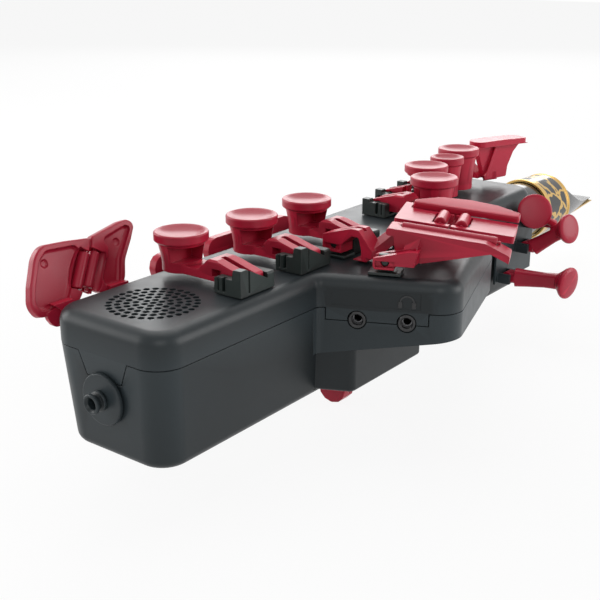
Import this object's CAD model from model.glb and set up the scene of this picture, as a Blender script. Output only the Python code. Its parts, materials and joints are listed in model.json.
import json
import math

import bmesh
import bpy
from mathutils import Matrix, Vector


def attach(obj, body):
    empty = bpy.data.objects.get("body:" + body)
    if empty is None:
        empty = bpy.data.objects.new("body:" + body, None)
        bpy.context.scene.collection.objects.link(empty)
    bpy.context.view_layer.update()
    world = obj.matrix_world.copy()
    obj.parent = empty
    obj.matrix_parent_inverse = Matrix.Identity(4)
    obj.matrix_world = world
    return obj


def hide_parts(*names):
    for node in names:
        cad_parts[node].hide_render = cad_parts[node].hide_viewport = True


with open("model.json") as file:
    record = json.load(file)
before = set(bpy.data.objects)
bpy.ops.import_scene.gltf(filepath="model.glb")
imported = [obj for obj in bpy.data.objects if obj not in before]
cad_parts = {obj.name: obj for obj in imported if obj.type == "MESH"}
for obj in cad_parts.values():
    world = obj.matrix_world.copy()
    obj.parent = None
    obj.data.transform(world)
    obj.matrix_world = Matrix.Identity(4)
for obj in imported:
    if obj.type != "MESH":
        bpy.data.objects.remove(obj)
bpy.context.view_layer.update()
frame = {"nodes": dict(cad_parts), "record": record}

# Sizes in millimetres in the body's own coordinates: y = 0 at the foot end, z = UNDERSIDE at the rest face
MM = 0.001
REST_PLACE = 60
UNDERSIDE = -2.2
GAP = 0.3
BOND = 0.4
OVERRUN = 1
WELD = 0.0005
FAR = 400
UP = Vector((0, 0, 1))
AHEAD = (0, 1, 0)

ARC_STEPS = 9
FILLET_STEPS = 6
ROUND_SIDES = 64
SMALL_SIDES = 32

BODY_WIDTH = 48.5
BODY_LENGTH = 245
BODY_HEIGHT = 41.7
SEAM = 30.5
RIM = SEAM + GAP
WALL = 2.2
CORNER = 9.5
FAR_CORNER = 11
TOP_ROUND = 4.5
BOTTOM_ROUND = 3
LEFT_DRAFT = 3.4
RIGHT_DRAFT = 1
FOOT_DRAFT = 1
HALF = BODY_WIDTH / 2

WING_START = 75
WING_ANGLE = math.radians(25)
WING_FACE = 47.2
WING_BEND = (45, 161)
WING_END = 197
WING_NOSE = 9
FACE_NORMAL = Vector((math.sin(WING_ANGLE), -math.cos(WING_ANGLE), 0))
FLOOR_INNER = 13.7
FLOOR_OUTER = 21.8
CREASE = 2.5
POD_REACH = 11.2
POD_LENGTH = 50
POD_HEIGHT = 19.5
POD_NOSE = 3
POD_INSET = 0.1
POD_ROUND = 1.2
TAB_DROP = 3.9
JACK_TAB = (2.6, 34.6)
FOOT_TAB = (21, 14.5, 7)

GRILLE_Y = 22
GRILLE_RINGS = 5
GRILLE_PITCH = 2.75
GRILLE_HOLE = 1.1
OUTLET_Z = 17.4
OUTLET_REACH = 4.2
OUTLET_NECK = 5.2
SCREW_INSET = (9.5, 15)
SCREW_HEAD = (2.8, 1.6)
SCREW_BORE = 1.5
HOOK_MIDDLE = (8, 106)
HOOK_BASE = ((-1, 93), (17, 93), (17, 119), (-1, 119))
HOOK_CORNER = 2.2
HOOK_SEAT = 0.8
OCTAVE_HINGE = (224, 4.5)
OCTAVE_WIDTH = 13
OCTAVE_CHEEK = 1.5
JACK_PLACES = (13.3, 30)
JACK_Z = 27
JACK_RADIUS = 3
JACK_BORE = 1.85
JACK_LENGTH = 13
JACK_PROUD = 0.3
LABEL_SPAN = (4.5, 34.5)
LABEL_RISES = (4.8, 10.6)
LABEL_DEPTH = 0.15
SIGN_RISE = 7.2
SIGN_STEPS = 24
SIGN = (2.3, 0.22, 0.1, 0.25)  # radius, half the line's width, depth and height

HINGE_Z = BODY_HEIGHT + 4.6
DISC_RADIUS = 9.2
DISC_THICKNESS = 3.3
DISC_DISH = 1.5
DISC_RIM = 0.7
DISC_ROUND = 0.6
DISH_STEPS = 10
STEM_TOP = 8.1
STEM_FOOT = 6.7
LEVER_WIDTH = 9.4
LEVER_DROP = 2.2
LEVER_DIP = 0.6
LEVER_CREST = 4.8
LEVER_NOSE = 3.9
NOSE_TOP = 1.5
PIN = 1.2
BARREL = 2.4
BRACKET_HALF = 5.5
CHEEK = 3.3
CHEEK_TOP = 1.2
PAD_HEIGHT = 1
RIGHT_STACK = (14.5, 48.5, 31)  # x and y of the first hinge, and the pitch
RIGHT_REACHES = (27.2, 22.7, 21.9)
RIGHT_RISE = 10.8
RIGHT_PRONG = 4.6
LEFT_STACK = (  # name, x, y, reach, rise, radius, lever width
    ("g", -4.5, 160.1, 22.8, 13.7, 9.4, 9.4), ("a", -9.5, 176, 14.8, 14.3, 9, 7),
    ("bis", -10.5, 194.4, 15.1, 14.7, 7.2, 6), ("b", -13.5, 211.3, 14.3, 15.5, 9, 6),
)

PLATE_THICKNESS = 3.4
PLATE_ORIGIN = (-30, -2.5, 35.4)
PLATE_LEAN = math.radians(16)
PLATE_SPAN = 52
PLATE_RISE = 23.1
PLATE_ROUND = 9
PLATE_HINGE = (-28.8, 27)
PLATE_ARM_WIDTH = 8
ROLLER_PIN = (0.6, 1.2)
ROLLER_EDGE = 0.5
SEAM_ROLLER = (1.8, 12.6)
SEAM_SLANT = math.radians(33)
SEAT_SHARE = 1.24
SCOOP_REACH = 7.2
SCOOP_STEPS = 12
CUP_WALL = 0.7
TRAY_LEVELS = ((1.3, -1.6), (0.75, -1.45), (0.3, -1.1), (0.05, -0.5), (0, 1))
DIMPLE = ((0, -2.3), (0.9, -2.2), (1.3, -1.9), (1.5, -1.5), (1.5, -1.2), (0, -1.2), (0, -2.3))
LEFT_PLATE_SHARES = (
    (0.085, 0.02), (0.14, 0), (0.36, 0), (0.44, 0.113), (0.609, 0.814), (0.603, 0.883), (0.413, 0.931),
    (0.235, 0.957), (0.165, 0.831), (0.083, 0.459), (0.045, 0.195),
)
RIGHT_PLATE_SHARES = (
    (0.459, 0.078), (0.797, 0.043), (0.851, 0.429), (0.944, 0.697), (1, 0.892), (0.955, 1), (0.876, 0.991),
    (0.626, 0.887), (0.622, 0.814),
)
LEFT_TRAY = (
    (5.8, 2, 2.5), (16.3, 1.8, 2.5), (18.6, 5, 5), (26.4, 17.6, 2), (24.8, 19.5, 2), (13.2, 20.3, 3),
    (9.9, 17.9, 6), (6, 10.2, 9), (4.2, 5, 5),
)
RIGHT_TRAY = (
    (31.4, 3.2, 2), (39.8, 2.9, 2), (42.6, 10.6, 9), (47.5, 16.9, 9), (49.9, 20, 2), (48.2, 21.4, 2),
    (45.6, 21, 5), (36.4, 19, 2), (38.4, 15.4, 2),
)
PLATES = (  # name, side, shares, seam shares, tray, dimple, foot of the sheet, y of the arm and of its root
    ("c", 1, LEFT_PLATE_SHARES, (0.495, 0.462), LEFT_TRAY, (12.6, 16.2), (4.6, 7.5), 22.5, 11),
    ("eb", -1, RIGHT_PLATE_SHARES, (0.577, 0.43), RIGHT_TRAY, (43.4, 16.4), (34, 37), 37, 35),
)

TABLE_ORIGIN = (34.4, 105.4, 57)
TABLE_TURN = math.radians(21.7)
TABLE_DIP = math.radians(5.4)
TABLE_CLIP_WIDTH = 7

TOUCH_FOOT = (1.2, 222.5, 44.8)
TOUCH_TURN = math.radians(22)
TOUCH_LENGTH = 29.5
TOUCH_HEIGHT = 18

PALM_ARM_WIDTH = 5
PALM_HEAD = 4
PALM_KEYS = (  # node, hinge, tip, facing, radius, depth of the arm, elbow
    ("palm_key_d", (28.8, 235.2, 27.9), (33.3, 224.6, 35.3), (0.57, -0.75, 0.33), 7.7, 3.6, 9),
    ("palm_key_eb", (28.8, 228.6, 17.8), (48.6, 229, 28.8), (0.93, -0.22, 0.25), 6.5, 7.4, 3.6),
    ("palm_key_f", (28.8, 212, 7.6), (56.2, 215, 8.5), (0.98, -0.16, -0.05), 7, 8, 3.6),
)

NECK_Z = 21.3
NECK_AXIS = (0, 0, NECK_Z)
NECK_DIP = math.radians(2.9)
CORK_RADIUS = 8
COLLAR_RADIUS = 14
SHANK = 12.3
LIGATURE_SPAN = (281, 307)
LIGATURE_RADIUS = 15.5
LIGATURE_WALL = 1.2
TIP_Y = 359.6
TIP_DROP = 4.4
TIP_THICKNESS = 1.1
BEAK_STEPS = 24
BEAK_POWER = 2.6

BODY = "body"
MOUTH = "mouthpiece"


def to_frame(point):
    """A point of the body's own coordinates in the row frame, in metres."""
    return Vector((point[0], point[1] - REST_PLACE, point[2] - UNDERSIDE)) * MM


def placed(name, data):
    """A new object in the scene."""
    item = bpy.data.objects.new(name, data)
    bpy.context.scene.collection.objects.link(item)
    return item


def as_mesh(bm, name="solid"):
    mesh = bpy.data.meshes.new(name)
    bm.to_mesh(mesh)
    bm.free()
    return mesh


# Solids: Blender meshes in millimetres
def closed_mesh(bm):
    bmesh.ops.remove_doubles(bm, verts=bm.verts, dist=WELD)
    bmesh.ops.dissolve_degenerate(bm, edges=bm.edges, dist=WELD)
    bmesh.ops.recalc_face_normals(bm, faces=bm.faces)
    return as_mesh(bm)


def moved(mesh, matrix):
    mesh.transform(matrix)
    if matrix.determinant() < 0:
        mesh.flip_normals()
    return mesh


def outline(corners, steps=ARC_STEPS):
    """Rounds the corners (x, y, radius) of an anticlockwise outline; each point keeps its outward normal."""
    ring = []
    count = len(corners)
    for i, (x, y, radius) in enumerate(corners):
        px, py = corners[i - 1][:2]
        qx, qy = corners[(i + 1) % count][:2]
        into = Vector((x - px, y - py))
        away = Vector((qx - x, qy - y))
        most = min(into.length, away.length) / 2
        into.normalize()
        away.normalize()
        turn = math.atan2(into.x * away.y - into.y * away.x, into.dot(away))
        side = math.copysign(1, turn)
        tangent = math.tan(abs(turn) / 2)
        reach = min(radius * tangent, most)
        bend = reach / tangent if tangent > 0 else 0
        cx = x - into.x * reach - into.y * side * bend
        cy = y - into.y * reach + into.x * side * bend
        for k in range(steps + 1):
            angle = turn * k / steps
            wx = into.x * math.cos(angle) - into.y * math.sin(angle)
            wy = into.x * math.sin(angle) + into.y * math.cos(angle)
            ring.append((cx + wy * side * bend, cy - wx * side * bend, wy, -wx))
    return ring


def loft(levels, steps=ARC_STEPS):
    """Joins rings, each (corners, inset, z), into one closed solid."""
    bm = bmesh.new()
    rings = []
    for corners, inset, z in levels:
        points = [(x - nx * inset, y - ny * inset, z) for x, y, nx, ny in outline(corners, steps)]
        rings.append([bm.verts.new(p) for p in points])
    for low, high in zip(rings, rings[1:]):
        for k in range(len(low)):
            n = (k + 1) % len(low)
            bm.faces.new((low[k], low[n], high[n], high[k]))
    bm.faces.new(list(reversed(rings[0])))
    bm.faces.new(rings[-1])
    return closed_mesh(bm)


def slab(corners, low, high, steps=ARC_STEPS):
    return loft([(corners, 0, low), (corners, 0, high)], steps)


def quarter():
    """The sine and cosine at each step of a quarter turn."""
    turns = [math.pi / 2 * k / FILLET_STEPS for k in range(FILLET_STEPS + 1)]
    return [(math.sin(turn), math.cos(turn)) for turn in turns]


def levels(corners_at, inset, low, high, low_round, high_round):
    """Rings for a loft between two heights, with its lower and upper edges rounded off."""
    found = []
    for sin, cos in quarter()[:-1] if low_round else ():
        z = low + low_round * (1 - cos)
        found.append((corners_at(z), inset + low_round * (1 - sin), z))
    for z in (low + low_round, high - high_round):
        found.append((corners_at(z), inset, z))
    for sin, cos in quarter()[1:] if high_round else ():
        z = high - high_round * (1 - sin)
        found.append((corners_at(z), inset + high_round * (1 - cos), z))
    return found


def soft_slab(corners, low, high, under, over):
    return loft(levels(lambda z: corners, 0, low, high, under, over))


def oblong(xs, ys, radius=0):
    return [(xs[0], ys[0], radius), (xs[1], ys[0], radius), (xs[1], ys[1], radius), (xs[0], ys[1], radius)]


def block(xs, ys, zs):
    return slab(oblong(xs, ys), zs[0], zs[1], 1)


def axes(x, y, place):
    """A matrix whose X and Y axes run in two directions from a place."""
    matrix = Matrix((x, y, x.cross(y))).transposed().to_4x4()
    matrix.translation = Vector(place)
    return matrix


def along(start, way):
    """A matrix whose Y axis runs along a direction from a point."""
    y = Vector(way).normalized()
    up = Vector((1, 0, 0)) if abs(y.dot(UP)) > 0.999 else UP
    x = y.cross(up).normalized()
    return axes(x, y, start)


def turned(profile, start, way, sides=ROUND_SIDES):
    """A turned piece about a line; its profile is (radius, distance along the line)."""
    bm = bmesh.new()
    rings = []
    for radius, place in profile:
        if radius < 1e-6:
            rings.append([bm.verts.new((0, place, 0))] * sides)
            continue
        ring = []
        for k in range(sides):
            angle = 2 * math.pi * k / sides
            ring.append(bm.verts.new((radius * math.sin(angle), place, radius * math.cos(angle))))
        rings.append(ring)
    for low, high in zip(rings, rings[1:]):
        for k in range(sides):
            n = (k + 1) % sides
            corners = []
            for vert in (low[k], low[n], high[n], high[k]):
                if vert not in corners:
                    corners.append(vert)
            if len(corners) > 2:
                bm.faces.new(corners)
    return moved(closed_mesh(bm), along(start, way))


def rod(start, end, radius, sides=SMALL_SIDES):
    way = Vector(end) - Vector(start)
    profile = [(0, 0), (radius, 0), (radius, way.length), (0, way.length)]
    return turned(profile, start, way, sides)


def cross_rod(middle, half, radius):
    """A rod along Y about a point."""
    x, y, z = middle
    return rod((x, y - half, z), (x, y + half, z), radius)


def bar(start, end, sections, steps):
    """An arm between two points through rounded sections, each (share of the way, width, height, corner)."""
    way = Vector(end) - Vector(start)
    rings = []
    for share, width, height, corner in sections:
        w, h = width / 2, height / 2
        rings.append((oblong((-w, w), (-h, h), corner), 0, way.length * share))
    swapped = Matrix(((1, 0, 0, 0), (0, 0, 1, 0), (0, 1, 0, 0), (0, 0, 0, 1)))
    return moved(moved(loft(rings, steps), swapped), along(start, way))


def combine(operation, mesh, others):
    base = placed("work", mesh)
    helpers = [placed("helper", other) for other in others]
    for helper in helpers:
        modifier = base.modifiers.new("join", "BOOLEAN")
        modifier.operation = operation
        modifier.solver = "MANIFOLD"
        modifier.object = helper
    bpy.context.view_layer.update()
    result = bpy.data.meshes.new_from_object(base.evaluated_get(bpy.context.evaluated_depsgraph_get()))
    for item in [base, *helpers]:
        data = item.data
        bpy.data.objects.remove(item)
        bpy.data.meshes.remove(data)
    return result


def join(mesh, *others):
    return combine("UNION", mesh, others)


def cut(mesh, *cutters):
    return combine("DIFFERENCE", mesh, cutters)


def common(mesh, other):
    return combine("INTERSECT", mesh, [other])


def merged(meshes):
    """Several separate solids as one mesh, for a single cut."""
    bm = bmesh.new()
    for mesh in meshes:
        bm.from_mesh(mesh)
        bpy.data.meshes.remove(mesh)
    return as_mesh(bm)


def upright(mesh):
    """Stands a drawing in XY up: X stays, Y becomes Z and Z becomes -Y."""
    return moved(mesh, Matrix.Rotation(math.pi / 2, 4, "X"))


def standing(mesh):
    """Stands a drawing in XY on the YZ plane: X becomes Y, Y becomes Z, depth becomes X."""
    return moved(mesh, Matrix(((0, 0, 1, 0), (1, 0, 0, 0), (0, 1, 0, 0), (0, 0, 0, 1))))


def turned_about(mesh, hinge, facing):
    """Moves a piece from a key's own frame to its hinge, facing degrees about Z."""
    matrix = Matrix.Rotation(math.radians(facing), 4, "Z")
    matrix.translation = Vector(hinge)
    return moved(mesh, matrix)


# Materials
def new_tree(owner):
    owner.use_nodes = True
    owner.node_tree.nodes.clear()
    return owner.node_tree


def feed(tree, node, inputs):
    """Links each input that gets a socket, and sets each input that gets a value."""
    for key, value in dict(inputs).items():
        if isinstance(value, bpy.types.NodeSocket):
            tree.links.new(value, node.inputs[key])
        else:
            node.inputs[key].default_value = value


def add(tree, kind, inputs=(), **settings):
    node = tree.nodes.new(kind)
    for key, value in settings.items():
        setattr(node, key, value)
    feed(tree, node, inputs)
    return node


def material(name):
    mat = bpy.data.materials.new(name)
    tree = new_tree(mat)
    shader = add(tree, "ShaderNodeBsdfPrincipled")
    add(tree, "ShaderNodeOutputMaterial", {0: shader.outputs[0]})
    return mat, tree, shader


def noise(tree, scale, detail, rough=0.6, stretch=None, output="Fac"):
    place = add(tree, "ShaderNodeTexCoord").outputs["Object"]
    if stretch:
        place = add(tree, "ShaderNodeMapping", {"Vector": place, "Scale": stretch}).outputs["Vector"]
    inputs = {"Vector": place, "Scale": scale, "Detail": detail, "Roughness": rough}
    return add(tree, "ShaderNodeTexNoise", inputs).outputs[output]


def ramp(tree, source, *stops):
    """Two colours over a value; each stop is (place, colour)."""
    node = add(tree, "ShaderNodeValToRGB", {0: source})
    for element, (place, colour) in zip(node.color_ramp.elements, stops):
        element.position = place
        element.color = (*colour, 1)
    return node.outputs[0]


def ranged(tree, source, low, high):
    return add(tree, "ShaderNodeMapRange", {"Value": source, "To Min": low, "To Max": high}).outputs[0]


def risen(tree, source, start, end):
    """Goes from 0 to 1 while a value goes from start to end."""
    return add(tree, "ShaderNodeMapRange", {"Value": source, "From Min": start, "From Max": end}).outputs[0]


def maths(tree, operation, *values):
    return add(tree, "ShaderNodeMath", dict(enumerate(values)), operation=operation).outputs[0]


def vectors(tree, operation, *values):
    return add(tree, "ShaderNodeVectorMath", dict(enumerate(values)), operation=operation).outputs


def mixed(tree, share, first, second, blend="MIX"):
    """A mix of two colours, which are inputs 6 and 7 of the node."""
    inputs = {0: share, 6: first, 7: second}
    return add(tree, "ShaderNodeMix", inputs, data_type="RGBA", blend_type=blend).outputs[2]


def relief(tree, height, strength, distance, normal=None):
    inputs = {"Height": height, "Strength": strength, "Distance": distance * MM}
    if normal is not None:
        inputs["Normal"] = normal
    return add(tree, "ShaderNodeBump", inputs).outputs[0]


def tinted(value, colour):
    return tuple(channel * value for channel in colour)


def plastic(name, colour, rough, grain=4200, bump=0.06, spread=0.12, edge=0.4, coat=0.0, specular=0.5,
            wear=1.3):
    """Moulded plastic: fine grain, slow colour drift, soft moulded edges that catch the light."""
    mat, tree, shader = material(name)
    fine = noise(tree, grain, 2.0, 0.7)
    drift = noise(tree, 38, 2.0)
    base = ramp(tree, drift, (0.3, tinted(1 - spread, colour)), (0.7, tinted(1 + spread, colour)))
    dimmed = ramp(tree, fine, (0.35, (0.72, 0.72, 0.72)), (0.62, (1, 1, 1)))
    speckled = mixed(tree, 0.35, base, dimmed, "MULTIPLY")
    pointed = add(tree, "ShaderNodeNewGeometry").outputs["Pointiness"]
    edges = ramp(tree, pointed, (0.51, (0, 0, 0)), (0.58, (1, 1, 1)))
    soft = add(tree, "ShaderNodeBevel", {"Radius": edge * MM}, samples=4).outputs[0]
    feed(tree, shader, {
        "Base Color": mixed(tree, edges, speckled, (*tinted(wear, colour), 1)),
        "Roughness": ranged(tree, noise(tree, 140, 4.0, 0.65), rough - 0.06, rough + 0.08),
        "Normal": relief(tree, fine, bump, 0.05, soft),
        "Specular IOR Level": specular,
        "Coat Weight": coat,
        "Coat Roughness": 0.12,
    })
    return mat


def metal(name, colour, rough, scale=900, stretch=(1, 1, 1)):
    mat, tree, shader = material(name)
    lines = noise(tree, scale, 4.0, 0.6, stretch)
    feed(tree, shader, {
        "Base Color": ramp(tree, lines, (0.3, tinted(0.86, colour)), (0.7, colour)),
        "Roughness": ranged(tree, lines, rough - 0.08, rough + 0.1),
        "Metallic": 1.0,
        "Normal": relief(tree, lines, 0.08, 0.04),
    })
    return mat


def patterned_gold(name, middle, way, half_length):
    """Gold lacquer with dark enamel patches between two plain gold edge bands."""
    mat, tree, shader = material(name)
    place = add(tree, "ShaderNodeTexCoord").outputs["Object"]
    run = vectors(tree, "DOT_PRODUCT", vectors(tree, "SUBTRACT", place, middle)[0], way)["Value"]
    band = risen(tree, maths(tree, "ABSOLUTE", run), half_length - 3.9 * MM, half_length - 3.5 * MM)
    swirl = noise(tree, 150, 2.0, 0.5, output="Color")
    bent = vectors(tree, "MULTIPLY_ADD", swirl, (0.006, 0.006, 0.006), place)[0]
    cells = add(tree, "ShaderNodeTexVoronoi", {"Vector": bent, "Scale": 95}, feature="DISTANCE_TO_EDGE")
    gold = maths(tree, "MAXIMUM", band, risen(tree, cells.outputs["Distance"], 0.075, 0.05))
    feed(tree, shader, {
        "Base Color": mixed(tree, gold, (0.012, 0.011, 0.010, 1), (0.62, 0.40, 0.13, 1)),
        "Metallic": gold,
        "Roughness": ranged(tree, gold, 0.16, 0.27),
        "Normal": relief(tree, gold, 0.35, 0.12),
    })
    return mat


def natural(name, light, dark, scale, stretch, rough, bump):
    """Cane or cork: streaks or grains between two colours."""
    mat, tree, shader = material(name)
    grain = noise(tree, scale, 6.0, 0.7, stretch)
    feed(tree, shader, {
        "Base Color": ramp(tree, grain, (0.35, dark), (0.62, light)),
        "Roughness": rough,
        "Normal": relief(tree, grain, bump, 0.1),
    })
    return mat


# Looks: each is a material and the slot it fills
SHELL = (plastic("shell_plastic", (0.012, 0.016, 0.018), 0.38, grain=5200, bump=0.10, specular=0.28,
                 wear=2.4), "body_plastic")
RED = (plastic("key_plastic", (0.38, 0.013, 0.036), 0.3, grain=3800, bump=0.05, spread=0.07, specular=0.26),
       "key_plastic")
PINE = (plastic("bracket_plastic", (0.009, 0.013, 0.012), 0.38, grain=4800, bump=0.10, specular=0.4,
                wear=2.2), "bracket_plastic")
BLACK = (plastic("mouthpiece_plastic", (0.010, 0.011, 0.012), 0.20, grain=1500, bump=0.01, edge=0.3, coat=0.3,
                 wear=1.2), "mouthpiece_plastic")
SOCKET = (plastic("socket_plastic", (0.012, 0.012, 0.013), 0.28, edge=0.15, wear=1.6), "socket_plastic")
STEEL = (metal("screw_steel", (0.52, 0.52, 0.53), 0.32), "screw_steel")
CONTACT = (metal("contact_steel", (0.26, 0.26, 0.27), 0.4), "screw_steel")
CANE = (natural("cane", (0.66, 0.47, 0.22), (0.52, 0.34, 0.14), 900, (1, 0.05, 1), 0.6, 0.3), "cane")
CORK = (natural("cork", (0.45, 0.27, 0.13), (0.22, 0.11, 0.05), 700, (1, 1, 1), 0.85, 0.6), "cork")
RUBBER = (plastic("speaker_rubber", (0.016, 0.017, 0.018), 0.8, grain=1800, bump=0.3), "speaker_rubber")
BOARD = (plastic("circuit_board", (0.02, 0.10, 0.04), 0.35, grain=900, bump=0.2), "circuit_board")
CELL = (metal("cell_case", (0.5, 0.51, 0.53), 0.35, 500, (1, 0.1, 1)), "cell_case")
SHELL_BRACKET = (SHELL[0], "bracket_plastic")


# Pieces
def dissolve(mesh, degrees, weld=0):
    """Joins a mesh's nearly flat faces, after welding its points where a distance is given."""
    bm = bmesh.new()
    bm.from_mesh(mesh)
    if weld:
        bmesh.ops.remove_doubles(bm, verts=bm.verts, dist=weld)
    bmesh.ops.dissolve_limit(bm, angle_limit=math.radians(degrees), verts=bm.verts, edges=bm.edges)
    bm.to_mesh(mesh)
    bm.free()


def put(name, mesh, look, body, nodes=(), smooth=35, bevel=0.0):
    """A finished piece: smooth where it bends gently, riding on its body, in place of its CAD nodes."""
    mat, slot = look
    if bevel:
        dissolve(mesh, 0.2)
    mesh.transform(Matrix.Translation(to_frame((0, 0, 0))) @ Matrix.Scale(MM, 4))
    mesh.shade_smooth()
    mesh.set_sharp_from_angle(angle=math.radians(smooth))
    mesh.name = name
    piece = placed(name, mesh)
    mesh.materials.clear()
    mesh.materials.append(mat)
    if bevel:
        modifier = piece.modifiers.new("edges", "BEVEL")
        modifier.width = bevel * MM
        modifier.segments = 3
        modifier.limit_method = "ANGLE"
        modifier.angle_limit = math.radians(smooth)
        modifier.harden_normals = True
    normals = piece.modifiers.new("normals", "WEIGHTED_NORMAL")
    normals.keep_sharp = True
    normals.weight = 90
    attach(piece, body)
    if nodes:
        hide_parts(*nodes)


def body_name(node):
    for name, nodes in frame["record"]["behaviour"]["bodies"].items():
        if node in nodes:
            return name
    return BODY


def dress(node, look, bevel, cuts=(), extras=()):
    """A cleaned and carved copy of a CAD solid with rounded edges, in place of the plain one."""
    source = frame["nodes"][node]
    mesh = source.data.copy()
    mesh.transform(source.matrix_world)
    dissolve(mesh, 1, 0.002 * MM)
    mesh.transform(Matrix.Scale(1 / MM, 4) @ Matrix.Translation(-to_frame((0, 0, 0))))
    if extras:
        mesh = join(mesh, *extras)
    if cuts:
        mesh = cut(mesh, *cuts)
    put(node + "_dressed", mesh, look, body_name(node), [node], 32, bevel)


# Shells
def lean(z):
    return max(0, 1 - z / SEAM)


def body_corners(z):
    left = -HALF + LEFT_DRAFT * lean(z)
    right = HALF - RIGHT_DRAFT * lean(z)
    foot = FOOT_DRAFT * lean(z)
    return [(left, foot, CORNER), (right, foot, CORNER), (right, BODY_LENGTH, FAR_CORNER),
            (left, BODY_LENGTH, FAR_CORNER)]


NOSE = (HALF + WING_FACE * math.cos(WING_ANGLE), WING_START + WING_FACE * math.sin(WING_ANGLE))


def wing_corners(_height):
    """The same at every height, in the form that levels() asks for."""
    return [(-HALF, 0, CORNER), (HALF, 0, CORNER), (HALF, WING_START, CREASE), (*NOSE, WING_NOSE),
            (*WING_BEND, WING_NOSE), (HALF, WING_END, CREASE), (HALF, BODY_LENGTH, FAR_CORNER),
            (-HALF, BODY_LENGTH, FAR_CORNER)]


def on_face(distance, depth, z):
    """A point on the wing's slanted front face, a depth behind it."""
    x = HALF + distance * math.cos(WING_ANGLE) - depth * FACE_NORMAL.x
    y = WING_START + distance * math.sin(WING_ANGLE) - depth * FACE_NORMAL.y
    return Vector((x, y, z))


def face_block(span, depths, heights):
    corners = [on_face(distance, depth, 0) for distance, depth, _ in oblong(span, depths)]
    return slab([(corner.x, corner.y, 0) for corner in corners], *heights, 1)


def jack_tab(grow):
    span = (JACK_TAB[0] - grow, JACK_TAB[0] + JACK_TAB[1] + grow)
    return face_block(span, (-OVERRUN, WALL * 3), (SEAM - TAB_DROP - grow, RIM + BOND))


def foot_tab(grow):
    top, bottom, drop = FOOT_TAB
    low = SEAM - drop - grow
    high = RIM + BOND
    corners = [(-bottom / 2 - grow, low, 0), (bottom / 2 + grow, low, 0), (top / 2 + grow, high, 0),
               (-top / 2 - grow, high, 0)]
    return upright(slab(corners, -WALL * 2, OVERRUN, 1))


def dipped(mesh):
    """Tips a piece about the body's far end onto the dipping neck axis."""
    pivot = Vector((0, BODY_LENGTH, NECK_Z))
    turn = Matrix.Translation(pivot) @ Matrix.Rotation(-NECK_DIP, 4, "X") @ Matrix.Translation(-pivot)
    return moved(mesh, turn)


def under_wing(lift):
    """The space below the wing's sloping floor."""
    near, far = HALF - RIGHT_DRAFT, NOSE[0] + OVERRUN
    corners = [(near, -OVERRUN, 0), (far, -OVERRUN, 0), (far, FLOOR_OUTER + lift, 0),
               (near, FLOOR_INNER + lift, 0)]
    return upright(slab(corners, -BODY_LENGTH, 0, 1))


def beyond(x):
    """The space on the wing's side of an upright plane, along the wing's root."""
    return block((x, NOSE[0] + OVERRUN), (WING_START - CREASE, WING_END + CREASE), (0, BODY_HEIGHT))


def wall_solid():
    """The tub with its wing and pod, hollow, up to just above the seam."""
    high = RIM + BOND
    tub = loft(levels(body_corners, 0, UNDERSIDE, high, BOTTOM_ROUND, 0))
    tub_hollow = loft(levels(body_corners, WALL, UNDERSIDE + WALL, high + OVERRUN, BOTTOM_ROUND - WALL, 0))
    wing = loft(levels(wing_corners, 0, FLOOR_INNER - WALL, high, 0, 0))
    wing_hollow = loft(levels(wing_corners, WALL, FLOOR_INNER, high + OVERRUN, 0, 0))
    slope = math.tan(WING_ANGLE)
    near, far = HALF - WALL, HALF + POD_REACH
    keel = [(near, WING_START - WALL * slope + POD_INSET, 0),
            (far, WING_START + POD_REACH * slope + POD_INSET, POD_NOSE),
            (far, WING_START + POD_LENGTH, POD_NOSE), (near, WING_START + POD_LENGTH + POD_REACH, 0)]
    outer_wing = common(cut(wing, under_wing(0)), beyond(HALF - RIGHT_DRAFT))
    inner_wing = common(cut(wing_hollow, under_wing(WALL)), beyond(HALF - WALL * 2))
    pod = cut(soft_slab(keel, 0, POD_HEIGHT, POD_ROUND, 0), inner_wing.copy())
    return cut(join(tub, outer_wing, pod), tub_hollow, inner_wing)


def grille_holes():
    holes = []
    for ring in range(GRILLE_RINGS + 1):
        count = max(1, ring * 6)
        for k in range(count):
            angle = 2 * math.pi * k / count
            x = ring * GRILLE_PITCH * math.cos(angle)
            y = GRILLE_Y + ring * GRILLE_PITCH * math.sin(angle)
            holes.append(rod((x, y, BODY_HEIGHT - WALL * 2), (x, y, BODY_HEIGHT + OVERRUN), GRILLE_HOLE, 14))
    return merged(holes)


def case_bores():
    """Cutters for the sockets, the outlet and the cork."""
    bores = [rod(on_face(place, -OVERRUN, JACK_Z), on_face(place, WALL * 3, JACK_Z), JACK_RADIUS + GAP)
             for place in JACK_PLACES]
    bores.append(rod((0, -OVERRUN, OUTLET_Z), (0, WALL * 2, OUTLET_Z), OUTLET_NECK + GAP, ROUND_SIDES))
    cork = rod((0, BODY_LENGTH - WALL * 3, NECK_Z), (0, BODY_LENGTH + WALL, NECK_Z), CORK_RADIUS + GAP,
               ROUND_SIDES)
    return [*bores, dipped(cork)]


def screw_bores():
    head, sunk = SCREW_HEAD
    bores = []
    for x in (-HALF + SCREW_INSET[0], HALF - SCREW_INSET[0]):
        for y in (SCREW_INSET[1], BODY_LENGTH - SCREW_INSET[1]):
            bores.append(rod((x, y, UNDERSIDE - OVERRUN), (x, y, UNDERSIDE + sunk), head))
            bores.append(rod((x, y, UNDERSIDE), (x, y, UNDERSIDE + WALL + OVERRUN), SCREW_BORE))
    return bores


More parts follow.
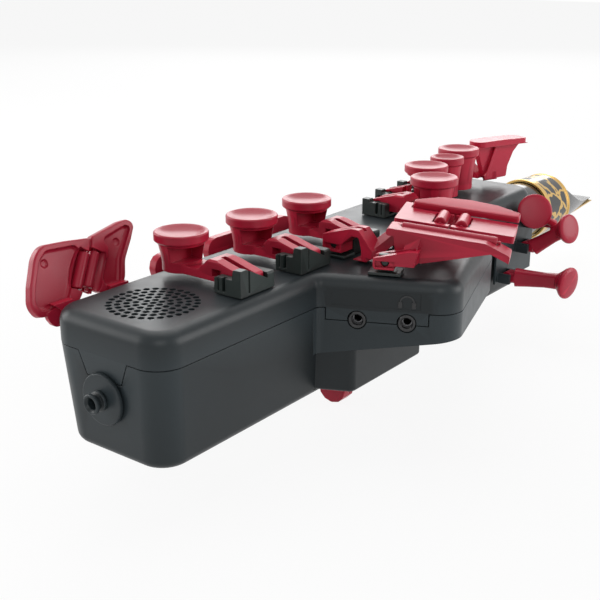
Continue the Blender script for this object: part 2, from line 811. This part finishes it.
def octave_cheeks():
    inner = OCTAVE_WIDTH / 2 + GAP
    outer = inner + OCTAVE_CHEEK
    y, drop = OCTAVE_HINGE
    axle = UNDERSIDE - drop
    length = (y - BARREL, y + BARREL)
    height = (axle - BARREL, UNDERSIDE + BOND)
    return [block((-outer, -inner), length, height), block((inner, outer), length, height),
            rod((-inner - BOND, y, axle), (inner + BOND, y, axle), PIN)]


def shells():
    walls = wall_solid()
    top = loft(levels(wing_corners, 0, RIM, BODY_HEIGHT, 0, TOP_ROUND))
    hollow = loft(levels(wing_corners, WALL, RIM - OVERRUN, BODY_HEIGHT - WALL, 0, TOP_ROUND - WALL))
    above = block((-FAR, FAR), (-FAR, FAR), (SEAM, BODY_HEIGHT))
    tabs = [common(walls.copy(), jack_tab(0)), common(walls.copy(), foot_tab(0))]
    label_seat = face_block(LABEL_SPAN, (-OVERRUN, LABEL_DEPTH), [JACK_Z + rise for rise in LABEL_RISES])
    hook_x, hook_y = HOOK_MIDDLE
    grown = [(x + math.copysign(GAP, x - hook_x), y + math.copysign(GAP, y - hook_y), HOOK_CORNER)
             for x, y in HOOK_BASE]
    seat = slab(grown, UNDERSIDE - OVERRUN, UNDERSIDE + HOOK_SEAT)
    bottom = cut(walls, above, jack_tab(GAP), foot_tab(GAP), seat, *case_bores(), *screw_bores())
    lid = cut(join(cut(top, hollow), *tabs), *case_bores(), grille_holes(), label_seat)
    put("shell_top", lid, SHELL, BODY, ["top_shell"], 28)
    put("shell_bottom", join(bottom, *octave_cheeks()), SHELL, BODY, ["bottom_shell"], 28)


def outlet():
    start = (0, 0, OUTLET_Z)
    proud, bore, rim, end = 1.6, 2.7, 8.3, 4.5
    flange = [(bore, -proud), (rim - 0.6, -proud), (rim - 0.2, 0.15 - proud), (rim, 0.5 - proud), (rim, -GAP),
              (OUTLET_NECK, -GAP), (OUTLET_NECK, end), (bore, end), (bore, -proud)]
    put("outlet_disc", turned(flange, start, AHEAD), SHELL, BODY, ["outlet_flange"])
    face = -proud - GAP
    tip = -proud - OUTLET_REACH
    lips = [(1.8, tip + 0.8), (2.2, tip + 0.3), (2.5, tip), (2.95, tip), (3.2, tip + 0.25), (3.2, tip + 0.95),
            (3.0, tip + 1.15), (2.4, tip + 1.3), (2.4, face - 1.3), (3.0, face - 1.1), (3.2, face - 0.9),
            (3.2, face - 0.2), (3.0, face), (2.4, face), (2.4, end), (1.8, end), (1.8, tip + 0.8)]
    put("outlet_spout", turned(lips, start, AHEAD), SHELL, BODY, ["outlet_nipple"])


def jacks():
    throat = (JACK_BORE, 0.35 - JACK_PROUD)
    barrel = [throat, (JACK_BORE + 0.35, -JACK_PROUD), (JACK_RADIUS - 0.3, -JACK_PROUD), (JACK_RADIUS, 0),
              (JACK_RADIUS, JACK_LENGTH), (0, JACK_LENGTH), (0, JACK_LENGTH - OVERRUN),
              (JACK_BORE, JACK_LENGTH - OVERRUN), throat]
    inner, outer, start, end = 1.35, JACK_BORE - 0.05, 2.6, 4.4
    sleeve = [(inner, start), (outer, start), (outer, end), (inner, end), (inner, start)]
    for name, place in zip(("jack_line", "jack_phones"), JACK_PLACES):
        face = on_face(place, 0, JACK_Z)
        put(name + "_barrel", turned(barrel, face, -FACE_NORMAL), SOCKET, BODY, [name])
        put(name + "_sleeve", turned(sleeve, face, -FACE_NORMAL), CONTACT, BODY)


def phones_sign():
    """The plain sign of a pair of headphones above the second socket, a little raised."""
    centre = on_face(JACK_PLACES[1], LABEL_DEPTH, JACK_Z + SIGN_RISE)
    across = Vector((math.cos(WING_ANGLE), math.sin(WING_ANGLE), 0))
    radius, half_width, sunk, proud = SIGN
    bm = bmesh.new()
    rings = []
    for k in range(SIGN_STEPS + 1):
        angle = math.pi * k / SIGN_STEPS
        ring = []
        for r, out, _ in oblong((radius - half_width, radius + half_width), (-sunk, proud)):
            spoke = across * r * math.cos(angle) + UP * r * math.sin(angle)
            ring.append(bm.verts.new(centre + spoke + FACE_NORMAL * out))
        rings.append(ring)
    for low, high in zip(rings, rings[1:]):
        for k in range(4):
            n = (k + 1) % 4
            bm.faces.new((low[k], low[n], high[n], high[k]))
    bm.faces.new(rings[0])
    bm.faces.new(list(reversed(rings[-1])))
    put("phones_sign_arc", closed_mesh(bm), SOCKET, BODY)
    for name, side in (("phones_sign_left", -1), ("phones_sign_right", 1)):
        pad = soft_slab(oblong((-0.7, 0.7), (-1.1, 1.1), 0.4), -sunk, proud + 0.1, 0, 0.08)
        place = centre + across * radius * side - UP * 0.8
        put(name, moved(pad, axes(across, UP, place)), SOCKET, BODY)


# Finger keys
def key_bracket(node, hinge, facing, width, prong, side):
    deck = BODY_HEIGHT + GAP - hinge[2]
    floor = deck + PAD_HEIGHT
    half = BRACKET_HALF
    inner = width / 2 + GAP
    outer = inner + CHEEK
    pad = block((-half, half), (-outer, outer), (deck, floor))
    face = [(-half, deck, 0), (half, deck, 0), (half, CHEEK_TOP - 0.5, 0.5), (half - 0.6, CHEEK_TOP, 0.5),
            (0.6 - half, CHEEK_TOP, 0.5), (-half, CHEEK_TOP - 0.5, 0.5)]
    parts = [upright(slab(face, inner, outer, 3)), upright(slab(face, -outer, -inner, 3))]
    horn = [(half - 3.9, 0, 0), (half, 0, 0), (half - 0.2, prong, 0.4), (half - 3.1, prong, 0.4)]
    parts.append(upright(slab(horn, -outer, 3 - outer, 3)))
    wall = [(-outer, deck, 0), (outer, deck, 0), (outer, prong, 0.3), (outer - 3, prong, 0.6),
            (-outer, deck + PAD_HEIGHT * 2, 0)]
    parts.append(standing(slab(wall, LEVER_NOSE + GAP, half, 3)))
    parts.append(rod((0, -outer + BOND, 0), (0, -inner + 1.1, 0), PIN))
    parts.append(rod((0, inner - 1.1, 0), (0, outer - BOND, 0), PIN))
    slots = [block((-2.2, -0.9), (outer - 1.6, outer + OVERRUN), (floor, FAR)),
             block((-4.1, -3.6), (outer - 0.5, outer + OVERRUN), (floor, FAR)),
             block((half - 0.5, half + OVERRUN), (outer - 4.6, outer - 3.8), (floor, FAR))]
    whole = cut(join(pad, *parts), *slots)
    if side < 0:
        whole = moved(whole, Matrix.Diagonal((1, -1, 1, 1)))
    put(node + "_post", turned_about(whole, hinge, facing), PINE, BODY, [node], 30, 0.2)


def lever_body(reach, width):
    half = width / 2
    corners = [(-reach, -LEVER_DROP, 0), (LEVER_NOSE, -LEVER_DROP, 0.5), (LEVER_NOSE, NOSE_TOP, 1),
               (-8, LEVER_CREST, 0.9), (-11.3, LEVER_CREST, 1.6), (-15.6, LEVER_DIP, 2.5),
               (-reach, LEVER_DIP, 0)]
    body = upright(slab(corners, -half, half, 5))
    window = block((-9.7, -5.9), (-width, 3 - half), (-0.6, 1.9))
    slot = block((-9, LEVER_NOSE + OVERRUN), (-1.1, 1.1), (NOSE_TOP - 2.6, LEVER_CREST + OVERRUN))
    chamfers = []
    sockets = []
    for side in (-1, 1):
        edge = Matrix.Translation((0, side * half, LEVER_CREST + 0.15)) @ Matrix.Rotation(math.pi / 4, 4, "X")
        chamfers.append(moved(block((-FAR, FAR), (-0.5, 0.5), (-0.5, 0.5)), edge))
        sockets.append(rod((0, side * (half - 1.7), 0), (0, side * (half + OVERRUN), 0), PIN + GAP))
    return cut(body, window, slot, *chamfers, *sockets)


def disc_key(node, hinge, facing, reach, rise, radius, width):
    taper = radius / DISC_RADIUS
    under = rise - DISC_THICKNESS
    foot = STEM_FOOT * taper
    top = STEM_TOP * taper
    stem = [(0, -LEVER_DROP), (foot, -LEVER_DROP), (foot, LEVER_DIP),
            (foot + (top - foot) * 0.35, under * 0.5), (top, under + BOND), (0, under + BOND)]
    disc = [(0, under), (radius - 0.5, under), (radius, under + 0.5), (radius, rise - DISC_ROUND)]
    for sin, cos in quarter()[1:]:
        disc.append((radius - DISC_ROUND * (1 - cos), rise - DISC_ROUND * (1 - sin)))
    lip = radius - DISC_RIM - DISC_ROUND
    for k in range(DISH_STEPS + 1):
        run = 1 - k / DISH_STEPS
        disc.append((lip * run, rise - DISC_DISH + (DISC_DISH - 0.12) * run ** 3))
    start = (-reach, 0, 0)
    piece = join(lever_body(reach, width), turned(stem, start, UP), turned(disc, start, UP))
    inset, across = 1.2, (-top - OVERRUN, top * 0.42)
    if node.startswith("lh"):
        inset, across = 1.6, (-top * 0.5, top + OVERRUN)
    scoop = block((-reach + inset * taper, -reach + top + OVERRUN), across, (LEVER_DIP + 0.7, under - 0.9))
    put(node + "_touch", turned_about(cut(piece, scoop), hinge, facing), RED, node, [node], 30)


def stacks():
    x, start, pitch = RIGHT_STACK
    for i, reach in enumerate(RIGHT_REACHES):
        hinge = (x, start + pitch * i, HINGE_Z)
        key_bracket(f"rh_bracket_{i + 1}", hinge, 0, LEVER_WIDTH, RIGHT_PRONG, -1)
        disc_key(f"rh_key_{i + 1}", hinge, 0, reach, RIGHT_RISE, DISC_RADIUS, LEVER_WIDTH)
    for name, x, y, reach, rise, radius, width in LEFT_STACK:
        hinge = (x, y, HINGE_Z)
        key_bracket(f"lh_bracket_{name}", hinge, 180, width, CHEEK_TOP * 2, 1)
        disc_key(f"lh_key_{name}", hinge, 180, reach, rise, radius, width)


def roller_barrel(node, matrix, start, end, radius):
    """A crowned roller with its pins."""
    a = matrix @ Vector(start)
    way = matrix @ Vector(end) - a
    length = way.length
    pin, reach = ROLLER_PIN
    edge = ROLLER_EDGE
    profile = [(0, -reach), (pin, -reach), (pin, 0), (radius - edge, 0)]
    for sin, cos in quarter()[1:]:
        profile.append((radius - edge * (1 - sin), edge * (1 - cos)))
    for sin, cos in reversed(quarter()):
        profile.append((radius - edge * (1 - sin), length - edge * (1 - cos)))
    profile += [(pin, length), (pin, length + reach), (0, length + reach)]
    put(node + "_barrel", turned(profile, a, way, 40), RED, node, [node])


def plate_blade(shares, side, tray_outline, dimple, at_roller):
    """A plate in the plates' frame: tray, dimple, notch and scoop at the roller, and the roller's cup."""
    radius, length = SEAM_ROLLER
    half = radius + GAP * 2
    long = length / 2 + GAP * 2
    notch = block(sorted((-side * half, side * half * 3)), (-long, long),
                  (-PLATE_THICKNESS * 2, PLATE_THICKNESS))
    corners = [(x * PLATE_SPAN, y * PLATE_RISE, PLATE_ROUND) for x, y in shares]
    plate = soft_slab(corners, -PLATE_THICKNESS, 0, 0.8, 0.6)
    tray = loft([(tray_outline, inset, z) for inset, z in TRAY_LEVELS])
    hollow = [(0, -SCOOP_REACH)]
    for k in range(1, SCOOP_STEPS):
        angle = math.pi * k / SCOOP_STEPS
        hollow.append((2.3 * math.sin(angle) ** 0.8, -SCOOP_REACH * math.cos(angle)))
    hollow.append((0, SCOOP_REACH))
    scoop = turned(hollow, (-side * 2.6, 0, -0.2), AHEAD, 40)
    dip = turned(DIMPLE, (*dimple, 0), UP)
    outside = -side * (half + CUP_WALL)
    end = long + 0.4
    floor = -PLATE_THICKNESS - 1.3
    cup = join(block(sorted((outside, side * 1.3)), (-end, end), (floor, -PLATE_THICKNESS - 0.5)),
               block(sorted((outside, -side * half)), (-end, end), (floor, -2.8)))
    plate = cut(plate, tray, moved(notch, at_roller), moved(scoop, at_roller), dip)
    return join(plate, moved(cup, at_roller))


def plate_support(y, root, sheet_foot):
    """A plate's arm, the curved sheet beside it and its hinge barrel, and the bore of that barrel."""
    hinge_x, hinge_z = PLATE_HINGE
    back = PLATE_ORIGIN[0] - PLATE_THICKNESS / 2
    knee = hinge_z + (BARREL + GAP * 2)
    width = PLATE_ARM_WIDTH / 2
    top = PLATE_ORIGIN[2] + PLATE_THICKNESS
    arm = standing(slab([(y - width, hinge_z, 0), (y + width, hinge_z, 0), (y + width, knee, 1.5),
                         (root + width, top, 0), (root - width, top, 0), (y - width, knee, 1.5)],
                        back, PLATE_ORIGIN[0] + GAP * 3, 5))
    edge = knee + 0.6
    sheet = standing(slab([(sheet_foot[1], edge + 0.4, 3), (y, edge, 1), (y, edge + 2, 1),
                           (root, top - 0.6, 0), (sheet_foot[0], top - 2.4, 0.5),
                           (sheet_foot[0] + 0.9, top - 5, 3)],
                          back, PLATE_ORIGIN[0], 6))
    hinge = (hinge_x, y, hinge_z)
    return [arm, sheet, cross_rod(hinge, width, BARREL)], cross_rod(hinge, width * 2, PIN + GAP)


def pinky_plates():
    matrix = axes(Vector(AHEAD), Vector((-math.sin(PLATE_LEAN), 0, math.cos(PLATE_LEAN))), PLATE_ORIGIN)
    depth = PLATE_THICKNESS / 2
    radius, length = SEAM_ROLLER
    for name, side, shares, seam, tray_outline, dimple, sheet_foot, arm_place, root in PLATES:
        across, up = seam[0] * PLATE_SPAN, seam[1] * PLATE_RISE
        dx = math.sin(SEAM_SLANT) * length / 2
        dy = math.cos(SEAM_SLANT) * length / 2
        roller = f"rh_roller_{name}"
        roller_barrel(roller, matrix, (across - dx, up - dy, -depth), (across + dx, up + dy, -depth), radius)
        seat = rod((across - dx * SEAT_SHARE, up - dy * SEAT_SHARE, -depth),
                   (across + dx * SEAT_SHARE, up + dy * SEAT_SHARE, -depth), 0.9)
        at_roller = Matrix.Translation((across, up, 0)) @ Matrix.Rotation(-SEAM_SLANT, 4, "Z")
        plate = moved(plate_blade(shares, side, tray_outline, dimple, at_roller), matrix)
        support, bore = plate_support(arm_place, root, sheet_foot)
        node = f"rh_pinky_{name}"
        put(node + "_plate", cut(join(plate, *support), moved(seat, matrix), bore), RED, node, [node], 26)


def clip_carving(hinge, facing, reach, crest, hollow_end):
    """Cutters that thin a lever to a strap: a slot on top, side pockets, a hollow below its crest."""
    half = TABLE_CLIP_WIDTH / 2
    across = (-half - OVERRUN, half + OVERRUN)
    under = -LEVER_DROP - OVERRUN
    cuts = [block((-min(reach, 12), -0.5), (-0.8, 0.8), (crest - 2.2, crest + OVERRUN))]
    if hollow_end:
        hollow = [(-hollow_end, under, 0), (-4.2, under, 0), (-4.2, 0.9, 0.5), (-8.4, crest - 2.6, 1),
                  (-hollow_end + 1.2, crest - 2.6, 1), (-hollow_end, 0.2, 0)]
        cuts.append(upright(slab(hollow, *across, 4)))
    else:
        cuts.append(block((-reach - OVERRUN, -3.2), across, (under, -0.7)))
    for pocket in ((-half - OVERRUN, 0.9 - half), (half - 0.9, half + OVERRUN)):
        cuts.append(block((-3.4, LEVER_NOSE - 0.8), pocket, (-LEVER_DROP + 0.8, 0.7)))
    nose = [(LEVER_NOSE - 1.2, under, 0), (LEVER_NOSE + OVERRUN, under, 0), (LEVER_NOSE + OVERRUN, 0.4, 0)]
    cuts.append(upright(slab(nose, *across, 1)))
    return [turned_about(cutter, hinge, facing) for cutter in cuts]


def table():
    u = Vector((math.cos(TABLE_TURN) * math.cos(TABLE_DIP), math.sin(TABLE_TURN) * math.cos(TABLE_DIP),
                -math.sin(TABLE_DIP)))
    v = Vector((-math.sin(TABLE_TURN), math.cos(TABLE_TURN), 0))
    matrix = axes(u, v, TABLE_ORIGIN)
    split = 18.9
    middle = 2.8 + (11.6 + GAP * 4) / 2
    low, high = middle - 5.8, middle + 5.8
    near, far = split - 3.4, split + GAP * 2 + 3.4
    rollers = (("csharp", (near, low, -0.4), (near, high, -0.4), 2.2),
               ("b", (far, low, -0.4), (far, high, -0.4), 2.2),
               ("bflat", (3.8 + GAP, -7, -0.9), (36.6 - GAP, -7, -0.9), 1.9))
    for name, start, end, radius in rollers:
        roller_barrel(f"table_roller_{name}", matrix, start, end, radius)
    slant = 180 + math.degrees(TABLE_TURN)
    carved = {
        "csharp": clip_carving((15.5, 98.1, HINGE_Z), 180, 17, 7.2, 12.6),
        "b": clip_carving((29.5, 117.5, HINGE_Z), slant, 17, 4.8, 12),
        "gsharp": clip_carving((24, 137, HINGE_Z), 180, 13, 4.8, 9),
        "bflat": clip_carving((41, 90.5, HINGE_Z), slant, 10, 4.4, 0),
    }
    for name, cuts in carved.items():
        dress(f"table_key_{name}", RED, 0.15, cuts)
        dress(f"table_bracket_{name}", PINE, 0.25)


def palm_keys():
    wide, head = PALM_ARM_WIDTH, PALM_HEAD
    for node, (x, y, z), tip, facing, radius, deep, elbow in PALM_KEYS:
        way = Vector(facing).normalized()
        back = Vector(tip) - way * head
        profile = [(0, 0), (radius - 2.4, 0), (radius - 1.5, 0.5), (radius - 0.6, 1.3), (radius - 0.1, 2.1),
                   (radius, 2.7), (radius - 0.15, 3.2), (radius - 0.6, 3.55), (radius - 1.4, 3.8),
                   (radius * 0.5, head), (0, head)]
        flare = [(0, -6), (1.9, -6), (2.2, -4.5), (2.9, -2.6), (radius * 0.62, -1),
                 (radius - 1.6, 0.3), (0, 0.3)]
        square = min(deep, wide)
        ends = [(share, wide, square, square * 0.32) for share in (0, 1)]
        root = bar((x, y, z), (x + elbow, y, z), ends, 4)
        sections = ((0, wide, deep), (0.25, wide * 0.9, deep * 0.9), (0.6, wide * 0.84, deep * 0.8),
                    (1, wide, min(deep, radius)))
        sections = [(share, across, high, min(across / 2, high / 2) * 0.7)
                    for share, across, high in sections]
        arm = bar((x + elbow - BOND, y, z), back + way * (BOND * 2), sections, 5)
        barrel = cross_rod((x, y, z), wide / 2, BARREL)
        body = join(root, arm, barrel, turned(profile, back, way), turned(flare, back, way))
        put(node + "_touch", cut(body, cross_rod((x, y, z), wide, PIN + GAP)), RED, node, [node], 34)
    dress("palm_bracket", SHELL_BRACKET, 0.3)


# Neck and mouthpiece
def neck():
    bore = CORK_RADIUS + GAP
    start = BODY_LENGTH + GAP + COLLAR_RADIUS * math.tan(NECK_DIP)
    cap = [(bore, start), (COLLAR_RADIUS - 0.5, start), (COLLAR_RADIUS, start + 0.5),
           (COLLAR_RADIUS, start + 2.6), (COLLAR_RADIUS - 0.3, start + 3.4), (12.5, start + 6.2),
           (12.1, start + 6.5), (bore, start + 6.5), (bore, start)]
    put("neck_ring", dipped(turned(cap, NECK_AXIS, AHEAD)), SHELL, BODY, ["neck_collar"])
    dress("neck_cork", CORK, 0.3)


def mouthpiece():
    first, last = LIGATURE_SPAN
    wide = LIGATURE_RADIUS - LIGATURE_WALL - GAP
    end = TIP_Y + 1
    outer = turned([(0, 253.5), (SHANK - 0.6, 253.5), (SHANK, 254.1), (SHANK, 262), (SHANK + 0.5, 263.5),
                    (wide, first), (wide, last), (6.5, TIP_Y), (0, TIP_Y)], NECK_AXIS, AHEAD, 96)
    tip = NECK_Z - TIP_DROP
    heel = NECK_Z - 11.8
    foot = last - 4
    run = TIP_Y - last + 4
    rise = TIP_DROP + wide - TIP_THICKNESS
    beak = [(foot + run * k / BEAK_STEPS, tip + TIP_THICKNESS + rise * (1 - k / BEAK_STEPS) ** BEAK_POWER, 0)
            for k in range(BEAK_STEPS + 1)]
    above = standing(slab([*beak, (end, tip + TIP_THICKNESS, 0), (end, NECK_Z + 28, 0),
                           (foot, NECK_Z + 28, 0)], -COLLAR_RADIUS, COLLAR_RADIUS, 5))
    below = standing(slab([(279 - GAP, NECK_Z - 28, 0), (end, NECK_Z - 28, 0), (end, tip, 0), (TIP_Y, tip, 0),
                           (279 - GAP, heel, 0)], -COLLAR_RADIUS, COLLAR_RADIUS, 1))
    socket = rod((0, 252.5, NECK_Z), (0, 272.3, NECK_Z), CORK_RADIUS + GAP, ROUND_SIDES)
    chamber = rod((0, 271, NECK_Z), (0, 312, NECK_Z), 5)
    throat = block((-5, 5), (last, TIP_Y - 5), (heel - 1, tip + 0.55))
    throat_back = block((-5, 5), (last, 325), (heel - 1, NECK_Z))
    body = cut(outer, above, below, socket, chamber, throat, throat_back)
    put("mouthpiece_body", dipped(body), BLACK, MOUTH, ["mouthpiece"], 24)
    dress("reed", CANE, 0.15)


def ligature():
    first, last = LIGATURE_SPAN
    radius = LIGATURE_RADIUS
    inside = radius - LIGATURE_WALL
    band = [(inside, first), (radius - 0.3, first)]
    for place, size in ((0.3, 0), (1.2, 0), (1.5, 0.3), (24.5, 0.3), (24.8, 0), (25.7, 0)):
        band.append((radius - size, first + place))
    band += [(radius - 0.3, last), (inside, last), (inside, first)]
    middle = dipped(turned([(0, 0), (0.1, 0), (0, 0.1)], (0, (first + last) / 2, NECK_Z), AHEAD, 3))
    centre = to_frame(middle.vertices[0].co)
    way = Vector((0, math.cos(NECK_DIP), -math.sin(NECK_DIP)))
    pattern = patterned_gold("ligature_lacquer", centre, way, (last - first) / 2 * MM)
    look = (pattern, "ligature_brass")
    put("ligature_band", dipped(turned(band, NECK_AXIS, AHEAD, 128)), look, MOUTH, ["ligature"], 40)


def touch():
    """The front touch: its web carries two slanted ribs and a hollow between them."""
    matrix = axes(Vector((math.sin(TOUCH_TURN), math.cos(TOUCH_TURN), 0)), UP, TOUCH_FOOT)
    high, end = TOUCH_HEIGHT, TOUCH_LENGTH
    top = high - 1.5
    ribs = [slab([(6.6, 1.8, 0), (12, 1.8, 0), (12, top, 0), (6.6, top, 0)], -1, 1, 2),
            slab([(6.6, 1.8, 0), (8, 1.8, 0), (13.6, top, 0), (12.2, top, 0)], -2.9, 2.9, 2)]
    lip = soft_slab([(0.3, high - 0.6, 0.5), (end - 0.3, high - 0.6, 0.5), (end - 0.3, high, 0.4),
                     (end / 2, high + 0.28, 8), (0.3, high, 0.4)], -4.6, 4.6, 0.5, 0.5)
    plan = [(0.2, -4.7, 4.5), (end - 0.2, -4.7, 2.5), (end - 0.2, 4.7, 2.5), (0.2, 4.7, 4.5)]
    bottom, upper = -high - OVERRUN, 2.2 - high
    margin = block((-OVERRUN, end + OVERRUN), (-6, 6), (bottom, upper))
    trim = upright(cut(margin, slab(plan, bottom - 1, upper + 1)))
    cuts = [moved(trim, matrix), *clip_carving((-14, 230, HINGE_Z), 180, 17, 4.8, 0)]
    dress("lh_key_f", RED, 0.15, cuts, [moved(rib, matrix) for rib in [*ribs, lip]])


def plain_nodes():
    for name in ("bb", "c", "e"):
        dress(f"side_key_{name}", RED, 0.4)
    for node in ("side_bracket", "rh_pinky_bracket", "lh_bracket_f"):
        dress(node, PINE, 0.25)
    touch()
    dress("thumb_hook", RED, 0.5)
    dress("octave_key", RED, 0.4)
    for i in range(1, 5):
        dress(f"case_screw_{i}", STEEL, 0.15)
    dress("speaker", RUBBER, 0.2)
    dress("main_board", BOARD, 0.1)
    dress("battery", CELL, 0.5)


shells()
outlet()
jacks()
phones_sign()
stacks()
pinky_plates()
table()
palm_keys()
neck()
mouthpiece()
ligature()
plain_nodes()


# Camera, floor and light
CAMERA_PLACE = (0.21594, -0.24654, 0.14778)
CAMERA_PITCH = math.radians(19.13)
CAMERA_TURN = math.radians(37.32)
CAMERA_LENS = 61.115
FLOOR_Z = -0.0186
FLOOR_HALF = 3.0
FLOOR_GLOW = 0.9
ROOM_LIGHT = 0.24


def make_camera():
    data = bpy.data.cameras.new("camera")
    data.lens = CAMERA_LENS
    data.sensor_width = 36
    data.sensor_fit = "HORIZONTAL"
    data.clip_start = 0.01
    camera = placed("camera", data)
    camera.location = CAMERA_PLACE
    camera.rotation_euler = (math.pi / 2 - CAMERA_PITCH, 0, CAMERA_TURN)
    bpy.context.scene.camera = camera


def seen_directly(tree):
    """1 where a ray comes from the camera, a mirror or glass."""
    rays = add(tree, "ShaderNodeLightPath").outputs
    seen = rays["Is Camera Ray"]
    for name in ("Is Glossy Ray", "Is Transmission Ray"):
        seen = maths(tree, "MAXIMUM", seen, rays[name])
    return seen


def make_floor():
    bm = bmesh.new()
    corners = oblong((-FLOOR_HALF, FLOOR_HALF), (-FLOOR_HALF, FLOOR_HALF))
    bm.faces.new([bm.verts.new((x, y, FLOOR_Z)) for x, y, _ in corners])
    floor = placed("floor", as_mesh(bm, "floor"))
    mat, tree, shader = material("floor_white")
    feed(tree, shader, {"Base Color": (0.86, 0.86, 0.86, 1), "Roughness": 0.9})
    glow = add(tree, "ShaderNodeEmission", {"Strength": 1.0}).outputs[0]
    share = maths(tree, "MULTIPLY", seen_directly(tree), FLOOR_GLOW)
    mix = add(tree, "ShaderNodeMixShader", {0: share, 1: shader.outputs[0], 2: glow})
    output = next(node for node in tree.nodes if node.type == "OUTPUT_MATERIAL")
    feed(tree, output, {0: mix.outputs[0]})
    floor.data.materials.append(mat)


def make_world():
    world = bpy.data.worlds.new("studio")
    bpy.context.scene.world = world
    tree = new_tree(world)
    room, white = [add(tree, "ShaderNodeBackground", {"Color": (1, 1, 1, 1), "Strength": strength}).outputs[0]
                   for strength in (ROOM_LIGHT, 1.0)]
    mix = add(tree, "ShaderNodeMixShader", {0: seen_directly(tree), 1: room, 2: white})
    add(tree, "ShaderNodeOutputWorld", {0: mix.outputs[0]})


def area_light(name, place, target, size, power, tall=None):
    data = bpy.data.lights.new(name, "AREA")
    data.energy = power
    data.size = size
    if tall:
        data.shape = "RECTANGLE"
        data.size_y = tall
    light = placed(name, data)
    light.location = place
    light.rotation_euler = (Vector(target) - Vector(place)).to_track_quat("-Z", "Y").to_euler()


make_camera()
make_floor()
make_world()
area_light("top_soft", (-0.25, 0.35, 0.95), (0, 0.08, 0.03), 0.9, 4.8)
area_light("left_front", (-0.75, -0.55, 0.35), (0, 0, 0.03), 0.5, 2.3)
area_light("right_side", (0.8, 0.6, 0.28), (0.05, 0.06, 0.02), 0.6, 4.6)
area_light("left_side", (-0.9, -0.1, 0.3), (0, 0, 0.05), 0.5, 3.0)
area_light("right_front", (0.75, -0.75, 0.75), (0, 0, 0.03), 0.6, 3.0)
area_light("far_panel", (-0.7, 1.15, 0.5), (0, 0.08, 0.05), 1.0, 5.5, 0.5)

bpy.context.scene.view_settings.view_transform = "Standard"
